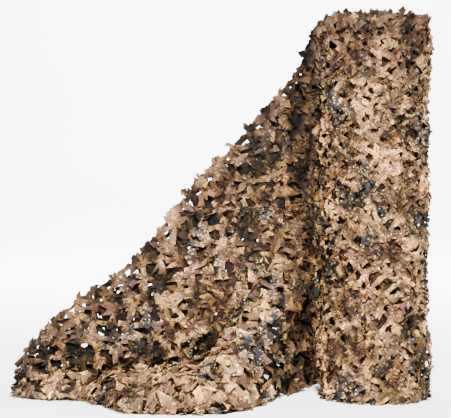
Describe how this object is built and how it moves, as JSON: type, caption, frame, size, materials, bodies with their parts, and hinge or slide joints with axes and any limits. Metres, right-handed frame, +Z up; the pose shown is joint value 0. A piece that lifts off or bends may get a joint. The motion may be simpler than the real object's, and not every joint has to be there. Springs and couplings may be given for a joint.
{
  "type": "camouflage netting roll",
  "caption": "Bulk roll of leaf-cut camouflage netting standing on its end, its loose end drawn out in a slope and piled on the floor.",
  "frame": {"origin": "centre of the roll's foot, on the floor", "axes": "+Z up along the roll; the loose end runs from the back of the roll towards -X; its pile lies towards -Y, the front"},
  "size_m": [1.6592, 0.6487, 1.5],
  "materials": {
    "wound_netting": "matt printed cloth, wound, leaf-cut",
    "netting": "matt printed cloth, leaf-cut and pulled open"
  },
  "bodies": {
    "root": {"roll": "wound_netting", "loose_end": "netting"}
  },
  "joints": []
}
